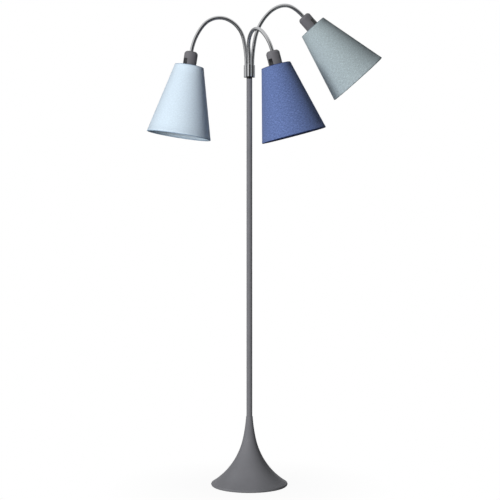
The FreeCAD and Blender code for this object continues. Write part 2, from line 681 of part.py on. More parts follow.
def make_head(arm):
    place = head_place(arm)
    flange_top = S["cap_length"]
    flange_low = flange_top + S["flange_thickness"]
    ring_top = flange_low + S["fitter_thickness"]
    inside = S["cap_radius"] - S["cap_wall"] - S["fit"]
    spigot = S["tube_bore"] - S["fit"]
    thread_end = S["nipple_spigot"] + S["nipple_thread"]
    shade_end = S["shade_start"] + S["shade_height"]
    wall = S["shade_wall"]
    insert_floor = S["insert_start"] + S["insert_floor"]
    return [
        turned(arm + "_end_nipple", [
            (S["nipple_bore"], ZERO), (spigot, ZERO), (spigot, S["nipple_spigot"]),
            (S["nipple_radius"], S["nipple_spigot"]), (S["nipple_radius"], thread_end), (S["nipple_bore"], thread_end)],
            place.multiply(at(z=-S["nipple_spigot"].value))),
        make_cap(arm, place),
        make_rocker(arm, place),
        turned(arm + "_holder_skirt", [
            (S["skirt_bore"], S["skirt_start"]), (inside, S["skirt_start"]), (inside, flange_top),
            (S["cap_radius"], flange_top), (S["cap_radius"], flange_low), (S["skirt_radius"], flange_low),
            (S["skirt_radius"], S["skirt_end"]), (S["skirt_lip"], S["skirt_end"]),
            (S["skirt_lip"], S["skirt_end"] - S["skirt_lip_depth"]),
            (S["skirt_bore"], S["skirt_end"] - S["skirt_lip_depth"])], place),
        turned(arm + "_socket_insert", [
            (ZERO, S["insert_start"]), (S["insert_radius"], S["insert_start"]), (S["insert_radius"], S["insert_end"]),
            (S["insert_bore"], S["insert_end"]), (S["insert_bore"], insert_floor),
            (S["contact_radius"], insert_floor), (S["contact_radius"], insert_floor + S["contact_height"]),
            (ZERO, insert_floor + S["contact_height"])], place),
        tube(arm + "_shade_ring", S["skirt_radius"] + S["thread_gap"], S["ring_radius"],
             ring_top, ring_top + S["ring_height"], place),
        turned(arm + "_shade", [
            (S["shade_top_radius"] - wall, S["shade_start"]), (S["shade_top_radius"], S["shade_start"]),
            (S["shade_bottom_radius"], shade_end), (S["shade_bottom_radius"] - wall, shade_end)], place),
        make_shade_frame(arm, place),
    ] + make_bulb(arm, place)


# ---------------------------------------------------------------- the whole lamp
def joint_table():
    """Print each pivot in metres with its axis, for the record."""
    for arm in ARMS:
        frames = arm_frames(arm)
        for number, kind in enumerate(("lean", "side", "arch", "tilt")):
            frame = frames[number]
            aim = math.radians(ARMS[arm]["heading"][number])
            out = frame.Rotation.multVec(V(math.cos(aim), math.sin(aim), 0))
            along = frame.Rotation.multVec(V(0, 0, 1))
            axis = out if kind == "side" else along.cross(out)
            print("joint %s_%s at %s axis %s" % (arm, kind, metres(frame.Base), rounded(axis, 6)))
        pivot = rocker_place(head_place(arm))
        axis = pivot.Rotation.multVec(V(0, 1, 0))
        print("joint %s_switch at %s axis %s" % (arm, metres(pivot.Base), rounded(axis, 6)))


def metres(point):
    return rounded(point / 1000.0, 6)


def rounded(point, digits):
    return [round(value, digits) for value in (point.x, point.y, point.z)]


def build():
    pieces = make_foot() + make_pole()
    for arm in ARMS:
        pieces.append(make_sleeve(arm))
        pieces += make_arm(arm)
        pieces += make_head(arm)
    doc.recompute()
    for item in doc.Objects:
        if "Invalid" in item.State or "Error" in item.State:
            raise RuntimeError("%s failed: %s" % (item.Label, item.State))
    os.makedirs("parts", exist_ok=True)
    for piece in pieces:
        if piece.Shape.isNull() or not piece.Shape.isValid():
            raise RuntimeError("%s has no valid shape" % piece.Label)
        piece.Shape.exportStep("parts/%s.step" % piece.Label)
    print("%d nodes" % len(pieces))


build()
joint_table()
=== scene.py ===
"""Tree floor lamp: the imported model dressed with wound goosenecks, fabric shades and its real finishes."""
import json
import math

import bmesh
import bpy
from bpy.props import FloatProperty, FloatVectorProperty, IntProperty, PointerProperty
from mathutils import Matrix, Vector


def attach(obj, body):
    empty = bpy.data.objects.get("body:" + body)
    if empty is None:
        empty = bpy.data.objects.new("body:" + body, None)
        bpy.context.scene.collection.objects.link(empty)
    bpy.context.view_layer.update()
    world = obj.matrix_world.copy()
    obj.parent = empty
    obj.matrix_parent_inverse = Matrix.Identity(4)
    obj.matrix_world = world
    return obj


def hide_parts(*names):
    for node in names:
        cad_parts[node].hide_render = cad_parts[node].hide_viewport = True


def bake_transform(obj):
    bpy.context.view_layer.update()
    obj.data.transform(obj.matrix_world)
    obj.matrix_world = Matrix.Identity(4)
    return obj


bl_info = {
    "name": "Tree floor lamp",
    "version": (1, 0, 0),
    "blender": (4, 5, 0),
    "location": "3D View > Sidebar > Tree lamp",
    "description": "Dresses the lamp's frame with its goosenecks, fabric shades and finishes",
    "category": "Object",
}

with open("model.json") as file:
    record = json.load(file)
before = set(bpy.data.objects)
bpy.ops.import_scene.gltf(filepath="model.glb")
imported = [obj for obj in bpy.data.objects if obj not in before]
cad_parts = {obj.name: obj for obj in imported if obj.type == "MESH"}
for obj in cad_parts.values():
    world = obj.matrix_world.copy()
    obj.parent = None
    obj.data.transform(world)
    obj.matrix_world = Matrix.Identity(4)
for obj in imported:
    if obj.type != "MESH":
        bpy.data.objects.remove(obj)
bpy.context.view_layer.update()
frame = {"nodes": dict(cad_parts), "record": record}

MM = 0.001
PIVOT_HEIGHT = 1315.0 * MM
SLEEVE_PITCH = 11.0 * MM
HIDDEN_END = 24.0 * MM
# Each arm is four tangent arcs: length in mm, bend and the heading that it bends towards, in degrees.
# Heading 0 is +X and 90 is +Y, carried along the tube without twist.
ARMS = {
    "left": {"arcs": ((80.5, 13.3, -164.4), (79.1, 56.2, -159.9), (88.1, 74.2, -176.5), (88.6, 30.6, -154.8)),
             "sleeve": 150},
    "front": {"arcs": ((46.4, 16.3, -109.0), (61.9, 53.9, -57.0), (56.4, 71.3, -53.3), (72.0, 40.2, -56.0)),
              "sleeve": -90},
    "right": {"arcs": ((82.8, 19.7, -52.1), (90.7, 38.8, 28.0), (89.2, 63.3, 43.9), (53.9, 51.2, -19.1)),
              "sleeve": 30},
}
REACHES = ("lower", "middle", "upper", "head")

FLOOR_RADIUS = 12.0
FLOOR_DROP = 0.4 * MM
SOFTBOX_AIM = Vector((0, 0, 0.9))
CAMERA_PLACE = (0.0019, -3.45, 0.735)
CAMERA_LENS = 79.5
# How bright the studio is that metal mirrors: place round the lamp, from behind by the left, and level.
STUDIO = ((0.0, 1.0), (0.07, 0.7), (0.12, 0.2), (0.19, 0.3), (0.23, 1.0), (0.41, 0.9), (0.46, 0.06),
          (0.51, 0.02), (0.64, 0.02), (0.7, 0.55), (0.8, 0.6), (0.86, 0.3), (0.94, 0.7), (1.0, 1.0))


def linear(code):
    """An sRGB hex colour as linear red, green and blue."""
    channels = [int(code[i:i + 2], 16) / 255 for i in (1, 3, 5)]
    return tuple(c / 12.92 if c <= 0.04045 else ((c + 0.055) / 1.055) ** 2.4 for c in channels)


# ---------------------------------------------------------------- sizes and colours a user may change
class GooseneckSizes(bpy.types.PropertyGroup):
    """Sizes of the wound tube."""
    radius: FloatProperty(name="Tube radius", description="Outside radius of the wound tube, over its ribs",
                          default=5.85 * MM, min=0.003, max=0.01, unit="LENGTH")
    groove: FloatProperty(name="Groove depth", description="How deep the winding's groove is",
                          default=0.22 * MM, min=0.0, max=0.002, unit="LENGTH")
    pitch: FloatProperty(name="Winding pitch", description="Distance from one turn to the next",
                         default=2.4 * MM, min=0.001, max=0.01, unit="LENGTH")
    sides: IntProperty(name="Sides", description="Corners round the tube", default=24, min=8, max=48)


class ShadeSizes(bpy.types.PropertyGroup):
    """Sizes of a shade, measured down its axis from the top of the lampholder."""
    start: FloatProperty(name="Top depth", description="Depth of the shade's top edge",
                         default=45.0 * MM, min=0.0, max=0.1, unit="LENGTH")
    height: FloatProperty(name="Height", description="Height of the shade along its axis",
                          default=218.2 * MM, min=0.05, max=0.5, unit="LENGTH")
    top_radius: FloatProperty(name="Top radius", description="Outside radius of the top edge",
                              default=45.1 * MM, min=0.01, max=0.2, unit="LENGTH")
    bottom_radius: FloatProperty(name="Bottom radius", description="Outside radius of the bottom edge",
                                 default=100.2 * MM, min=0.01, max=0.3, unit="LENGTH")
    wall: FloatProperty(name="Wall", description="Thickness of the stiff backing with its cloth",
                        default=1.0 * MM, min=0.0003, max=0.003, unit="LENGTH")
    hem: FloatProperty(name="Hem", description="Width of the turned-in cloth at each edge",
                       default=8.0 * MM, min=0.004, max=0.02, unit="LENGTH")


class LampColours(bpy.types.PropertyGroup):
    """Colours of the lamp's finishes."""
    stand: FloatVectorProperty(name="Stand", description="Enamel of the foot and pole", subtype="COLOR",
                               size=3, min=0, max=1, default=linear("#7C7C80"))
    holder: FloatVectorProperty(name="Lampholders", description="Moulded plastic of the lampholders",
                                subtype="COLOR", size=3, min=0, max=1, default=linear("#706F73"))
    left_cloth: FloatVectorProperty(name="Left shade", description="Cloth of the left shade",
                                    subtype="COLOR", size=3, min=0, max=1, default=linear("#DBEBF8"))
    front_cloth: FloatVectorProperty(name="Front shade", description="Cloth of the front shade",
                                     subtype="COLOR", size=3, min=0, max=1, default=linear("#6A7EB2"))
    right_cloth: FloatVectorProperty(name="Right shade", description="Cloth of the right shade",
                                     subtype="COLOR", size=3, min=0, max=1, default=linear("#B6C4C8"))


# ---------------------------------------------------------------- places along the arms
def turn(axis, degrees):
    return Matrix.Rotation(math.radians(degrees), 3, axis)


def arc_ends(arm):
    """(point, rotation) at the arm's foot and after each arc, with Z along the tube."""
    spot = math.radians(ARMS[arm]["sleeve"])
    place = Vector((SLEEVE_PITCH * math.cos(spot), SLEEVE_PITCH * math.sin(spot), PIVOT_HEIGHT))
    facing = Matrix.Identity(3)
    ends = [(place.copy(), facing.copy())]
    for length, bend, heading in ARMS[arm]["arcs"]:
        swing = math.radians(bend)
        aim = math.radians(heading)
        out = Vector((math.cos(aim), math.sin(aim), 0))
        radius = length * MM / swing
        rise = Vector((0, 0, radius * math.sin(swing)))
        place = place + facing @ (out * radius * (1 - math.cos(swing)) + rise)
        facing = facing @ turn(Vector((0, 0, 1)).cross(out), bend)
        ends.append((place.copy(), facing.copy()))
    return ends


def holder_matrix(arm):
    """Places a piece modelled about +Z at the lampholder's top, +Z running down into the shade."""
    place, facing = arc_ends(arm)[-1]
    return Matrix.Translation(place) @ facing.to_4x4()


# ---------------------------------------------------------------- modelling helpers
def object_mode():
    if bpy.context.object and bpy.context.object.mode != "OBJECT":
        bpy.ops.object.mode_set(mode="OBJECT")


def start_clean():
    object_mode()
    bpy.ops.object.select_all(action="DESELECT")


def pick(*items):
    start_clean()
    for item in items:
        item.select_set(True)
    bpy.context.view_layer.objects.active = items[0]


def named(name):
    piece = bpy.context.object
    piece.name = name
    piece.data.name = name
    return piece


def copy_of(piece, name):
    """A copy with a mesh of its own."""
    twin = piece.copy()
    twin.data = piece.data.copy()
    twin.name = name
    twin.data.name = name
    bpy.context.scene.collection.objects.link(twin)
    return twin


def apply(piece, kind, **settings):
    """Adds a modifier to the piece and applies it."""
    pick(piece)
    modifier = piece.modifiers.new(kind.title(), kind)
    for key, value in settings.items():
        setattr(modifier, key, value)
    bpy.ops.object.modifier_apply(modifier=modifier.name)


def settle(piece, matrix):
    """Moves the mesh to its place and leaves the object at the origin."""
    piece.data.transform(matrix)
    piece.matrix_world = Matrix.Identity(4)
    pick(piece)


def smooth(piece, degrees):
    pick(piece)
    bpy.ops.object.shade_smooth_by_angle(angle=math.radians(degrees))


def outward(piece):
    """Merges doubles and points every face outwards."""
    pick(piece)
    bpy.ops.object.mode_set(mode="EDIT")
    bpy.ops.mesh.select_all(action="SELECT")
    bpy.ops.mesh.remove_doubles(threshold=1e-6)
    bpy.ops.mesh.normals_make_consistent(inside=False)
    object_mode()


def wear(piece, material):
    piece.data.materials.clear()
    piece.data.materials.append(material)


def spin_profile(name, profile, steps):
    """A piece turned about Z from (radius, height) corners in mm; the profile is a closed loop."""
    start_clean()
    bpy.ops.mesh.primitive_plane_add(size=1)
    piece = named(name)
    mesh = bmesh.new()
    corners = [mesh.verts.new((radius * MM, 0, height * MM)) for radius, height in profile]
    for first, last in zip(corners, corners[1:] + corners[:1]):
        mesh.edges.new((first, last))
    mesh.to_mesh(piece.data)
    mesh.free()
    bpy.ops.object.mode_set(mode="EDIT")
    bpy.ops.mesh.select_all(action="SELECT")
    bpy.ops.mesh.spin(steps=steps, angle=math.tau, center=(0, 0, 0), axis=(0, 0, 1))
    object_mode()
    outward(piece)
    return piece


# ---------------------------------------------------------------- materials
def connect(tree, node, inputs):
    """Gives each named input its value, or its link where the value is another node's output."""
    for socket, value in inputs.items():
        if isinstance(value, bpy.types.NodeSocket):
            tree.links.new(value, node.inputs[socket])
        else:
            node.inputs[socket].default_value = value


def add_node(tree, kind, inputs=None, stops=(), **settings):
    """One shader node with its settings, its inputs and, on a colour ramp, its (place, colour) stops."""
    node = tree.nodes.new(kind)
    for key, value in settings.items():
        setattr(node, key, value)
    connect(tree, node, inputs or {})
    if stops:
        bands = node.color_ramp.elements
        while len(bands) < len(stops):
            bands.new(1.0)
        for band, (place, colour) in zip(bands, stops):
            band.position = place
            band.color = colour
    return node


def new_material(name):
    """(material, tree, shader) of a new material with one Principled shader."""
    material = bpy.data.materials.new(name)
    material.use_nodes = True
    tree = material.node_tree
    tree.nodes.clear()
    shader = add_node(tree, "ShaderNodeBsdfPrincipled")
    add_node(tree, "ShaderNodeOutputMaterial", {"Surface": shader.outputs["BSDF"]})
    return material, tree, shader


def rgba(colour, level=1.0):
    return tuple(min(1.0, channel * level) for channel in colour) + (1.0,)


def satin_enamel(colour):
    """Stoved satin enamel on spun steel: an even grey with a soft sheen and a trace of orange peel."""
    material, tree, shader = new_material("satin_enamel_on_steel")
    place = add_node(tree, "ShaderNodeTexCoord").outputs["Object"]
    cloud = add_node(tree, "ShaderNodeTexNoise", {"Vector": place, "Scale": 1 / (60 * MM), "Detail": 2.0})
    shade = add_node(tree, "ShaderNodeValToRGB", {"Fac": cloud.outputs["Fac"]},
                     ((0.35, rgba(colour, 0.96)), (0.65, rgba(colour, 1.04))))
    rough = add_node(tree, "ShaderNodeMapRange",
                     {"Value": cloud.outputs["Fac"], "To Min": 0.56, "To Max": 0.62})
    # Orange peel is about 1.5 mm across on stoved enamel.
    peel = add_node(tree, "ShaderNodeTexNoise", {"Vector": place, "Scale": 1 / (1.5 * MM), "Detail": 2.0})
    relief = add_node(tree, "ShaderNodeBump",
                      {"Height": peel.outputs["Fac"], "Distance": 0.02 * MM, "Strength": 0.35})
    connect(tree, shader, {"Base Color": shade.outputs["Color"], "Roughness": rough.outputs["Result"],
                           "IOR": 1.4, "Normal": relief.outputs["Normal"]})
    return material


def chrome_plate():
    """Nickel-chrome plate on wound and turned steel: a mirror with faint fingering."""
    material, tree, shader = new_material("chrome_plate")
    place = add_node(tree, "ShaderNodeTexCoord").outputs["Object"]
    smear = add_node(tree, "ShaderNodeTexNoise", {"Vector": place, "Scale": 1 / (9 * MM), "Detail": 2.0})
    rough = add_node(tree, "ShaderNodeMapRange",
                     {"Value": smear.outputs["Fac"], "To Min": 0.07, "To Max": 0.16})
    connect(tree, shader, {"Base Color": rgba(linear("#C9CACC")), "Metallic": 1.0,
                           "Roughness": rough.outputs["Result"]})
    return material


def moulded_plastic(name, colour, rough):
    """Injection-moulded thermoplastic, spark-eroded to a fine matt grain."""
    material, tree, shader = new_material(name)
    place = add_node(tree, "ShaderNodeTexCoord").outputs["Object"]
    cloud = add_node(tree, "ShaderNodeTexNoise", {"Vector": place, "Scale": 1 / (12 * MM), "Detail": 2.0})
    shade = add_node(tree, "ShaderNodeValToRGB", {"Fac": cloud.outputs["Fac"]},
                     ((0.3, rgba(colour, 0.97)), (0.7, rgba(colour, 1.03))))
    grain = add_node(tree, "ShaderNodeTexNoise", {"Vector": place, "Scale": 1 / (0.6 * MM), "Detail": 1.0})
    relief = add_node(tree, "ShaderNodeBump",
                      {"Height": grain.outputs["Fac"], "Distance": 0.03 * MM, "Strength": 0.5})
    connect(tree, shader, {"Base Color": shade.outputs["Color"], "Roughness": rough, "IOR": 1.5,
                           "Normal": relief.outputs["Normal"]})
    return material


def bare_steel(name, colour, rough):
    """Drawn or turned metal, bright but not polished."""
    material, tree, shader = new_material(name)
    place = add_node(tree, "ShaderNodeTexCoord").outputs["Object"]
    streak = add_node(tree, "ShaderNodeTexNoise", {"Vector": place, "Scale": 1 / (2 * MM), "Detail": 3.0})
    level = add_node(tree, "ShaderNodeMapRange",
                     {"Value": streak.outputs["Fac"], "To Min": rough - 0.06, "To Max": rough + 0.06})
    connect(tree, shader, {"Base Color": rgba(colour), "Metallic": 1.0, "Roughness": level.outputs["Result"]})
    return material


def cast_iron(colour):
    """Sand-cast grey iron, unpainted: dark, rough and slightly pitted."""
    material, tree, shader = new_material("sand_cast_iron")
    place = add_node(tree, "ShaderNodeTexCoord").outputs["Object"]
    grit = add_node(tree, "ShaderNodeTexNoise", {"Vector": place, "Scale": 1 / (1.2 * MM), "Detail": 4.0})
    shade = add_node(tree, "ShaderNodeValToRGB", {"Fac": grit.outputs["Fac"]},
                     ((0.3, rgba(colour, 0.8)), (0.7, rgba(colour, 1.2))))
    relief = add_node(tree, "ShaderNodeBump",
                      {"Height": grit.outputs["Fac"], "Distance": 0.2 * MM, "Strength": 0.7})
    connect(tree, shader, {"Base Color": shade.outputs["Color"], "Metallic": 0.7, "Roughness": 0.7,
                           "Normal": relief.outputs["Normal"]})
    return material


def rubber_sheet(colour):
    """Foamed rubber sheet: near black and quite without gloss."""
    material, tree, shader = new_material("foamed_rubber_sheet")
    place = add_node(tree, "ShaderNodeTexCoord").outputs["Object"]
    cell = add_node(tree, "ShaderNodeTexNoise", {"Vector": place, "Scale": 1 / (0.8 * MM), "Detail": 1.0})
    shade = add_node(tree, "ShaderNodeValToRGB", {"Fac": cell.outputs["Fac"]},
                     ((0.3, rgba(colour, 0.8)), (0.7, rgba(colour, 1.25))))
    relief = add_node(tree, "ShaderNodeBump",
                      {"Height": cell.outputs["Fac"], "Distance": 0.1 * MM, "Strength": 0.6})
    connect(tree, shader, {"Base Color": shade.outputs["Color"], "Roughness": 0.95, "IOR": 1.5,
                           "Normal": relief.outputs["Normal"]})
    return material


def opal_glass():
    """Soda glass bulb with a white powder coat inside: milky with a clear gloss over it."""
    material, tree, shader = new_material("opal_soda_glass")
    place = add_node(tree, "ShaderNodeTexCoord").outputs["Object"]
    cloud = add_node(tree, "ShaderNodeTexNoise", {"Vector": place, "Scale": 1 / (20 * MM), "Detail": 2.0})
    shade = add_node(tree, "ShaderNodeValToRGB", {"Fac": cloud.outputs["Fac"]},
                     ((0.3, rgba(linear("#EDEBE4"))), (0.7, rgba(linear("#F4F3EE")))))
    connect(tree, shader, {"Base Color": shade.outputs["Color"], "Roughness": 0.18, "IOR": 1.5,
                           "Coat Weight": 0.6, "Coat Roughness": 0.05})
    return material


def woven_cloth(name, colour, fleck, thread):
    """Plain-woven cotton on stiff card: threads both ways, with short pale slubs along both.

    The shade's own map runs in metres round and down it, so the threads follow the cone.
    """
    material, tree, shader = new_material(name)
    place = add_node(tree, "ShaderNodeUVMap", uv_map="cloth").outputs["UV"]
    # A wave texture repeats every tau / 20 at scale 1.
    per_thread = math.tau / 20 / thread
    threads = []
    for way in ("X", "Y"):
        wave = add_node(tree, "ShaderNodeTexWave",
                        {"Vector": place, "Scale": per_thread, "Distortion": 0.8, "Detail": 1.0},
                        bands_direction=way)
        threads.append(wave.outputs["Fac"])
    weave = add_node(tree, "ShaderNodeMath", {0: threads[0], 1: threads[1]}, operation="MULTIPLY")
    slubs = []
    for along, across in ((7 * MM, 1.6 * MM), (1.6 * MM, 5 * MM)):
        stretch = add_node(tree, "ShaderNodeMapping", {"Vector": place, "Scale": (1 / along, 1 / across, 1.0)})
        noise = add_node(tree, "ShaderNodeTexNoise",
                         {"Vector": stretch.outputs["Vector"], "Scale": 1.0, "Detail": 2.0})
        slubs.append(noise.outputs["Fac"])
    slub = add_node(tree, "ShaderNodeMath", {0: slubs[0], 1: slubs[1]}, operation="MULTIPLY")
    fine = add_node(tree, "ShaderNodeMapRange", {"Value": weave.outputs[0], "To Min": -0.25, "To Max": 0.25})
    coarse = add_node(tree, "ShaderNodeMapRange",
                      {"Value": slub.outputs[0], "From Min": 0.14, "From Max": 0.38})
    level = add_node(tree, "ShaderNodeMath", {0: coarse.outputs["Result"], 1: fine.outputs["Result"]},
                     operation="ADD")
    shade = add_node(tree, "ShaderNodeValToRGB", {"Fac": level.outputs[0]},
                     ((0.0, rgba(colour, 1.0 - fleck)), (1.0, rgba(colour, 1.0 + fleck))))
    relief = add_node(tree, "ShaderNodeBump",
                      {"Height": level.outputs[0], "Distance": 0.15 * MM, "Strength": 0.6})
    connect(tree, shader, {"Base Color": shade.outputs["Color"], "Roughness": 0.85, "IOR": 1.45,
                           "Sheen Weight": 0.1, "Sheen Roughness": 0.5, "Normal": relief.outputs["Normal"]})
    return material


def card_liner(name, colour):
    """Paper-backed card inside the shade: smooth, even and slightly glossy."""
    material, tree, shader = new_material(name)
    place = add_node(tree, "ShaderNodeUVMap", uv_map="cloth").outputs["UV"]
    cloud = add_node(tree, "ShaderNodeTexNoise", {"Vector": place, "Scale": 1 / (15 * MM), "Detail": 2.0})
    shade = add_node(tree, "ShaderNodeValToRGB", {"Fac": cloud.outputs["Fac"]},
                     ((0.3, rgba(colour, 0.97)), (0.7, rgba(colour, 1.03))))
    connect(tree, shader, {"Base Color": shade.outputs["Color"], "Roughness": 0.6, "IOR": 1.45})
    return material


def binding_with_painted_shade(name, colour):
    """Cotton tape rolled tight over the ring wire in the shade's own hue, set darker as painted shade on the
    rolled edges.
    """
    material, tree, shader = new_material(name)
    place = add_node(tree, "ShaderNodeUVMap", uv_map="cloth").outputs["UV"]
    twill = add_node(tree, "ShaderNodeTexWave",
                     {"Vector": place, "Scale": math.tau / 20 / (1.2 * MM), "Distortion": 0.5},
                     bands_direction="DIAGONAL")
    shade = add_node(tree, "ShaderNodeValToRGB", {"Fac": twill.outputs["Fac"]},
                     ((0.2, rgba(colour, 0.88)), (0.8, rgba(colour, 1.1))))
    relief = add_node(tree, "ShaderNodeBump",
                      {"Height": twill.outputs["Fac"], "Distance": 0.1 * MM, "Strength": 0.6})
    connect(tree, shader, {"Base Color": shade.outputs["Color"], "Roughness": 0.85, "IOR": 1.45,
                           "Normal": relief.outputs["Normal"]})
    return material


# ---------------------------------------------------------------- pieces
class LAMP_OT_finishes(bpy.types.Operator):
    """Give every piece that comes with the frame its real finish"""
    bl_idname = "lamp.finishes"
    bl_label = "Finish the frame's pieces"

    def execute(self, context):
        colours = context.scene.lamp_colours
        finishes = {
            "grey_metal": satin_enamel(colours.stand),
            "weight_iron": cast_iron(linear("#4A4A4C")),
            "plain_steel": bare_steel("drawn_steel", linear("#B4B4B6"), 0.35),
            "pad_rubber": rubber_sheet(linear("#1D1D1E")),
            "chrome": chrome_plate(),
            "black_plastic": moulded_plastic("moulded_black_nylon", linear("#161617"), 0.45),
            "grey_plastic": moulded_plastic("moulded_grey_polyester", colours.holder, 0.5),
            "switch_plastic": moulded_plastic("moulded_dark_nylon", linear("#1C1C1E"), 0.3),
            "ring_plastic": moulded_plastic("moulded_white_nylon", linear("#DCDCD8"), 0.45),
            "white_wire": moulded_plastic("white_coated_wire", linear("#E2E2DF"), 0.4),
            "bulb_glass": opal_glass(),
            "bulb_metal": bare_steel("rolled_aluminium", linear("#C6C7C9"), 0.3),
        }
        slots = {row["node"]: row["material_slot"] for row in frame["record"]["subparts"]}
        for node, item in frame["nodes"].items():
            finish = finishes.get(slots[node])
            if finish:
                wear(item, finish)
        return {"FINISHED"}


class LAMP_OT_goosenecks(bpy.types.Operator):
    """Wind the three goosenecks and bend them along their arcs"""
    bl_idname = "lamp.goosenecks"
    bl_label = "Wind the goosenecks"

    def execute(self, context):
        sizes = context.scene.lamp_gooseneck
        chrome = bpy.data.materials["chrome_plate"]
        for arm in ARMS:
            arcs = ARMS[arm]["arcs"]
            lengths = [arc[0] * MM for arc in arcs]
            total = HIDDEN_END + sum(lengths)
            tube = self.wind(arm, total, sizes)
            spine = self.spine(arm)
            starts = [HIDDEN_END + sum(lengths[:count]) for count in range(len(lengths))]
            cuts = [0.0] + [start + length / 2 for start, length in zip(starts, lengths[:-1])] + [total]
            ends = arc_ends(arm)
            for number, reach in enumerate(REACHES):
                piece = copy_of(tube, "%s_gooseneck_%s" % (arm, reach))
                self.keep(piece, cuts[number], cuts[number + 1])
                apply(piece, "CURVE", object=spine, deform_axis="POS_Z")
                piece.matrix_world = Matrix.Identity(4)
                smooth(piece, 60)
                wear(piece, chrome)
                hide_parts("%s_arm_%d" % (arm, number + 1))
                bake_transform(piece)
            for extra in (tube, spine):
                bpy.data.objects.remove(extra, do_unlink=True)
        return {"FINISHED"}

    def wind(self, arm, total, sizes):
        """One rib of the winding screwed up into a straight tube along Z."""
        start_clean()
        bpy.ops.mesh.primitive_plane_add(size=1)
        tube = named(arm + "_winding")
        mesh = bmesh.new()
        rounds = 5
        corners = []
        for step in range(rounds + 1):
            share = step / rounds
            bulge = math.sqrt(max(0.0, 1 - (2 * share - 1) ** 2))
            radius = sizes.radius - sizes.groove * (1 - bulge)
            corners.append(mesh.verts.new((radius, 0, (share - 1) * sizes.pitch)))
        for first, last in zip(corners, corners[1:]):
            mesh.edges.new((first, last))
        mesh.to_mesh(tube.data)
        mesh.free()
        turns = math.ceil(total / sizes.pitch) + 1
        apply(tube, "SCREW", axis="Z", screw_offset=sizes.pitch, iterations=turns, steps=sizes.sides,
              render_steps=sizes.sides, use_merge_vertices=True, merge_threshold=1e-5)
        outward(tube)
        return tube

    def keep(self, piece, low, high):
        """Cuts the straight tube to the stretch from low to high and closes both ends."""
        for height, side in ((low, -1), (high, 1)):
            pick(piece)
            bpy.ops.object.mode_set(mode="EDIT")
            bpy.ops.mesh.select_all(action="SELECT")
            bpy.ops.mesh.bisect(plane_co=(0, 0, height), plane_no=(0, 0, side), use_fill=True, clear_outer=True)
            object_mode()

    def spine(self, arm):
        """The gooseneck's centre line, from inside its sleeve to the lampholder.

        Between two stations each handle is as long as the curve needs to follow its arc.
        """
        ends = arc_ends(arm)
        foot = ends[0][0]
        data = bpy.data.curves.new(arm + "_centre_line", "CURVE")
        data.dimensions = "3D"
        data.resolution_u = 48
        line = data.splines.new("BEZIER")
        line.bezier_points.add(len(ends))
        stations = [(foot - Vector((0, 0, HIDDEN_END)), Vector((0, 0, 1)))]
        stations += [(place, face @ Vector((0, 0, 1))) for place, face in ends]
        reaches = [HIDDEN_END / 3]
        for length, bend, _ in ARMS[arm]["arcs"]:
            swing = math.radians(bend)
            reaches.append(4 / 3 * math.tan(swing / 4) * length * MM / swing)
        for number, (place, along) in enumerate(stations):
            knot = line.bezier_points[number]
            knot.co = place
            knot.handle_left_type = knot.handle_right_type = "FREE"
            knot.handle_left = place - along * (reaches[number - 1] if number else reaches[0])
            knot.handle_right = place + along * (reaches[number] if number < len(reaches) else reaches[-1])
        item = bpy.data.objects.new(arm + "_centre_line", data)
        bpy.context.scene.collection.objects.link(item)
        return item


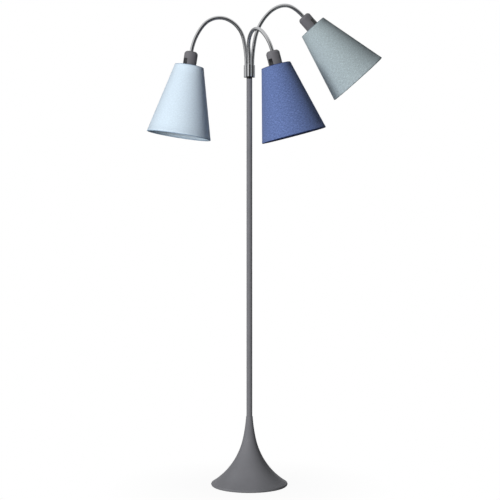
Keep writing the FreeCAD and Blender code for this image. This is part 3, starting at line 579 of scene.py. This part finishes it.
class LAMP_OT_shades(bpy.types.Operator):
    """Cover each shade's frame with cloth on stiff card, hemmed at both edges"""
    bl_idname = "lamp.shades"
    bl_label = "Cover the shades"

    def execute(self, context):
        sizes = context.scene.lamp_shade
        colours = context.scene.lamp_colours
        # Each binding colour is darker than its cloth: painted shade on the rolled edges of the shade.
        cloths = {
            "left": (woven_cloth("woven_sky_cotton", colours.left_cloth, 0.07, 1.1 * MM),
                     card_liner("pale_blue_card", linear("#D6E4EE")),
                     binding_with_painted_shade("sky_binding_painted_shade", linear("#A3B9CF"))),
            "front": (woven_cloth("woven_denim_cotton", colours.front_cloth, 0.34, 1.1 * MM),
                      card_liner("deep_navy_card", linear("#262D4A")),
                      binding_with_painted_shade("denim_binding_painted_shade", linear("#3B4770"))),
            "right": (woven_cloth("woven_slate_cotton", colours.right_cloth, 0.22, 1.1 * MM),
                      card_liner("pale_slate_card", linear("#B4C0C4")),
                      binding_with_painted_shade("slate_binding_painted_shade", linear("#8C999F"))),
        }
        for arm, finishes in cloths.items():
            piece = self.cover(arm + "_cloth_shade", sizes)
            self.map_cloth(piece, sizes)
            for finish in finishes:
                piece.data.materials.append(finish)
            for face in piece.data.polygons:
                face.material_index = self.layer(face, sizes)
            settle(piece, holder_matrix(arm))
            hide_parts(arm + "_shade")
            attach(piece, arm + "_head")
        return {"FINISHED"}

    def cover(self, name, sizes):
        """Cone of cloth on card, rolled round the ring wire at each edge, with a turned-in hem inside."""
        start, height, wall = sizes.start / MM, sizes.height / MM, sizes.wall / MM
        top, slope = sizes.top_radius / MM, (sizes.bottom_radius - sizes.top_radius) / sizes.height
        hem = sizes.hem / MM
        # How thick the turned-in hem is, and how far the hem stands out and over what length.
        turned, raised, ease = 0.35, 0.2, 0.4
        # The ring wires' depth from the edge, and how far the cloth is rolled, in degrees.
        wire_depth, roll_out, roll_in = 1.6, 20, 235
        # For each edge: the wire's middle from the cone's outside, and the roll's radius.
        top_inset, top_radius, low_inset, low_radius = 1.75, 1.95, 2.1, 2.25
        # Depths from the edge where the rolled cloth ends, outside and inside.
        top_out, top_in, low_out, low_in = 4.0, 4.2, 4.4, 4.6

        def outer(depth):
            return top + slope * depth

        def roll(depth, inset, radius, first, last):
            """Corners of the cloth rolled round a wire, between two angles from straight out."""
            for step in range(17):
                angle = math.radians(first + (last - first) * step / 16)
                yield outer(depth) - inset + radius * math.cos(angle), depth - radius * math.sin(angle)

        top_roll = list(roll(wire_depth, top_inset, top_radius, roll_in, -roll_out))
        low_roll = list(roll(height - wire_depth, low_inset, low_radius, roll_out, -roll_in))
        outside = [(outer(depth) + raised, depth) for depth in (top_out, hem - ease)]
        outside += [(outer(hem), hem)]
        outside += [(outer(height * share / 8), height * share / 8) for share in range(1, 8)]
        outside += [(outer(height - hem), height - hem)]
        outside += [(outer(height - depth) + raised, height - depth) for depth in (hem - ease, low_out)]
        inner = [(outer(height - depth) - wall - turned, height - depth) for depth in (low_in, hem)]
        inner += [(outer(height - hem - ease) - wall, height - hem - ease)]
        inner += [(outer(height * share / 8) - wall, height * share / 8) for share in range(7, 0, -1)]
        inner += [(outer(hem + ease) - wall, hem + ease)]
        inner += [(outer(depth) - wall - turned, depth) for depth in (hem, top_in)]
        profile = [(radius, start + depth) for radius, depth in top_roll + outside + low_roll + inner]
        piece = spin_profile(name, profile, steps=128)
        smooth(piece, 35)
        return piece

    def layer(self, face, sizes):
        """0 for the cloth and its turned-in hem, 1 for the card inside, 2 for the rolled edges."""
        depth = face.center.z - sizes.start
        top_band, low_band = 1.8 * MM, 2.0 * MM
        if not top_band < depth < sizes.height - low_band:
            return 2
        across = Vector((face.center.x, face.center.y, 0))
        hemmed = depth < sizes.hem or depth > sizes.height - sizes.hem
        return 1 if face.normal.dot(across) < 0 and not hemmed else 0

    def map_cloth(self, piece, sizes):
        """Map in metres: round the shade at mid height, and down it."""
        layer = piece.data.uv_layers.new(name="cloth")
        middle = (sizes.top_radius + sizes.bottom_radius) / 2
        for face in piece.data.polygons:
            centre = math.atan2(face.center.y, face.center.x)
            for loop in face.loop_indices:
                corner = piece.data.vertices[piece.data.loops[loop].vertex_index].co
                angle = math.atan2(corner.y, corner.x)
                if angle - centre > math.pi:
                    angle -= math.tau
                if centre - angle > math.pi:
                    angle += math.tau
                layer.data[loop].uv = (angle * middle, corner.z)


class LAMP_OT_stage(bpy.types.Operator):
    """Set the white floor, the soft studio light and the camera"""
    bl_idname = "lamp.stage"
    bl_label = "Set the stage"

    def execute(self, context):
        start_clean()
        bpy.ops.mesh.primitive_circle_add(vertices=64, radius=FLOOR_RADIUS, fill_type="NGON",
                                          location=(0, 0, -FLOOR_DROP))
        floor = named("studio_floor")
        wear(floor, self.paper())
        self.lamp("key_softbox", (-2.0, -3.4, 1.15), 1.1, 138.0)
        self.lamp("top_softbox", (0.3, -0.3, 3.8), 2.2, 3.0)
        self.lamp("back_softbox", (0.2, 3.6, 1.7), 1.2, 90.0)
        self.world()
        self.camera()
        return {"FINISHED"}

    def paper(self):
        """White seamless paper; seen directly it is mostly its own white, so only a faint shadow shows.

        Beyond the lamp's own shadow it is all white, so that no edge shows against the backdrop.
        """
        material, tree, shader = new_material("seamless_paper")
        place = add_node(tree, "ShaderNodeTexCoord").outputs["Object"]
        fibre = add_node(tree, "ShaderNodeTexNoise", {"Vector": place, "Scale": 1 / (4 * MM), "Detail": 2.0})
        shade = add_node(tree, "ShaderNodeValToRGB", {"Fac": fibre.outputs["Fac"]},
                         ((0.3, rgba(linear("#909090"))), (0.7, rgba(linear("#969696")))))
        connect(tree, shader, {"Base Color": shade.outputs["Color"], "Roughness": 0.9})
        glow = add_node(tree, "ShaderNodeEmission", {"Color": (1, 1, 1, 1), "Strength": 1.0})
        path = add_node(tree, "ShaderNodeLightPath")
        far = add_node(tree, "ShaderNodeVectorMath", {0: place}, operation="LENGTH")
        own = add_node(tree, "ShaderNodeMapRange", {"Value": far.outputs["Value"], "From Min": 0.12,
                                                    "From Max": 0.45, "To Min": 0.95, "To Max": 1.0})
        share = add_node(tree, "ShaderNodeMath", {0: path.outputs["Is Camera Ray"], 1: own.outputs["Result"]},
                         operation="MULTIPLY")
        blend = add_node(tree, "ShaderNodeMixShader",
                         {"Fac": share.outputs[0], 1: shader.outputs["BSDF"], 2: glow.outputs["Emission"]})
        # Clear from below, so that the underside of the foot can be looked at.
        below = add_node(tree, "ShaderNodeNewGeometry").outputs["Backfacing"]
        clear = add_node(tree, "ShaderNodeBsdfTransparent")
        paper = add_node(tree, "ShaderNodeMixShader",
                         {"Fac": below, 1: blend.outputs["Shader"], 2: clear.outputs["BSDF"]})
        out = next(node for node in tree.nodes if node.type == "OUTPUT_MATERIAL")
        tree.links.new(paper.outputs["Shader"], out.inputs["Surface"])
        return material

    def lamp(self, name, place, size, power):
        data = bpy.data.lights.new(name, "AREA")
        data.shape = "DISK"
        data.size = size
        data.energy = power
        item = bpy.data.objects.new(name, data)
        bpy.context.scene.collection.objects.link(item)
        item.location = place
        item.visible_glossy = False
        item.rotation_mode = "QUATERNION"
        item.rotation_quaternion = (SOFTBOX_AIM - Vector(place)).to_track_quat("-Z", "Y")

    def world(self):
        """White backdrop, low ambient light from the left, and a studio for metal to mirror.

        The studio runs round from behind by the left to behind again: white backdrop, a pale screen on the left,
        the dark of the room on the camera's side, a pale screen on the right. Overhead is pale too.
        """
        world = bpy.context.scene.world or bpy.data.worlds.new("studio")
        bpy.context.scene.world = world
        world.use_nodes = True
        tree = world.node_tree
        tree.nodes.clear()
        path = add_node(tree, "ShaderNodeLightPath")
        direction = add_node(tree, "ShaderNodeTexCoord").outputs["Generated"]
        axes = add_node(tree, "ShaderNodeSeparateXYZ", {"Vector": direction})
        ahead = add_node(tree, "ShaderNodeMath", {0: axes.outputs["Y"], 1: -1.0}, operation="MULTIPLY")
        azimuth = add_node(tree, "ShaderNodeMath", {0: axes.outputs["X"], 1: ahead.outputs[0]},
                           operation="ARCTAN2")
        round_share = add_node(tree, "ShaderNodeMapRange",
                               {"Value": azimuth.outputs[0], "From Min": -math.pi, "From Max": math.pi})
        studio = add_node(tree, "ShaderNodeValToRGB", {"Fac": round_share.outputs["Result"]},
                          [(place, (level, level, level, 1)) for place, level in STUDIO])
        overhead = add_node(tree, "ShaderNodeMapRange", {"Value": axes.outputs["Z"], "From Min": 0.35,
                                                         "From Max": 0.8})
        mirror = add_node(tree, "ShaderNodeMix", {"Factor": overhead.outputs["Result"],
                                                  "A": studio.outputs["Color"], "B": (0.85, 0.85, 0.85, 1)},
                          data_type="RGBA")
        level = add_node(tree, "ShaderNodeMapRange", {"Value": axes.outputs["X"], "From Min": -1.0,
                                                      "From Max": 1.0, "To Min": 0.17, "To Max": 0.03})
        ambient = add_node(tree, "ShaderNodeBackground",
                           {"Color": (0.88, 0.94, 1.0, 1), "Strength": level.outputs["Result"]})
        mirrored = add_node(tree, "ShaderNodeBackground", {"Color": mirror.outputs["Result"], "Strength": 1.0})
        white = add_node(tree, "ShaderNodeBackground", {"Color": (1, 1, 1, 1), "Strength": 1.0})
        lit = add_node(tree, "ShaderNodeMixShader", {"Fac": path.outputs["Is Glossy Ray"],
                                                     1: ambient.outputs["Background"],
                                                     2: mirrored.outputs["Background"]})
        seen = add_node(tree, "ShaderNodeMath", {0: path.outputs["Is Camera Ray"],
                                                 1: path.outputs["Is Transmission Ray"]}, operation="MAXIMUM")
        mix = add_node(tree, "ShaderNodeMixShader",
                       {"Fac": seen.outputs[0], 1: lit.outputs["Shader"], 2: white.outputs["Background"]})
        add_node(tree, "ShaderNodeOutputWorld", {"Surface": mix.outputs["Shader"]})

    def camera(self):
        data = bpy.data.cameras.new("photo_camera")
        data.sensor_width = 36.0
        data.lens = CAMERA_LENS
        item = bpy.data.objects.new("photo_camera", data)
        bpy.context.scene.collection.objects.link(item)
        item.location = CAMERA_PLACE
        item.rotation_euler = (math.radians(90), 0, 0)
        data.clip_end = 60
        bpy.context.scene.camera = item
        bpy.context.scene.view_settings.view_transform = "Standard"


class LAMP_PT_panel(bpy.types.Panel):
    """The lamp's pieces, in the order they are made"""
    bl_label = "Tree lamp"
    bl_space_type = "VIEW_3D"
    bl_region_type = "UI"
    bl_category = "Tree lamp"

    def draw(self, context):
        for group in ("lamp_gooseneck", "lamp_shade", "lamp_colours"):
            settings = getattr(context.scene, group)
            box = self.layout.box()
            for name in settings.__annotations__:
                box.prop(settings, name)
        for step in STEPS:
            self.layout.operator(step.bl_idname)


STEPS = (LAMP_OT_stage, LAMP_OT_finishes, LAMP_OT_goosenecks, LAMP_OT_shades)
GROUPS = {"lamp_gooseneck": GooseneckSizes, "lamp_shade": ShadeSizes, "lamp_colours": LampColours}


def register():
    for item in (*GROUPS.values(), *STEPS, LAMP_PT_panel):
        bpy.utils.register_class(item)
    for name, group in GROUPS.items():
        setattr(bpy.types.Scene, name, PointerProperty(type=group))


def unregister():
    for name in GROUPS:
        delattr(bpy.types.Scene, name)
    for item in reversed((*GROUPS.values(), *STEPS, LAMP_PT_panel)):
        bpy.utils.unregister_class(item)


def main():
    register()
    for step in STEPS:
        group, name = step.bl_idname.split(".")
        getattr(getattr(bpy.ops, group), name)()


if __name__ == "__main__":
    main()
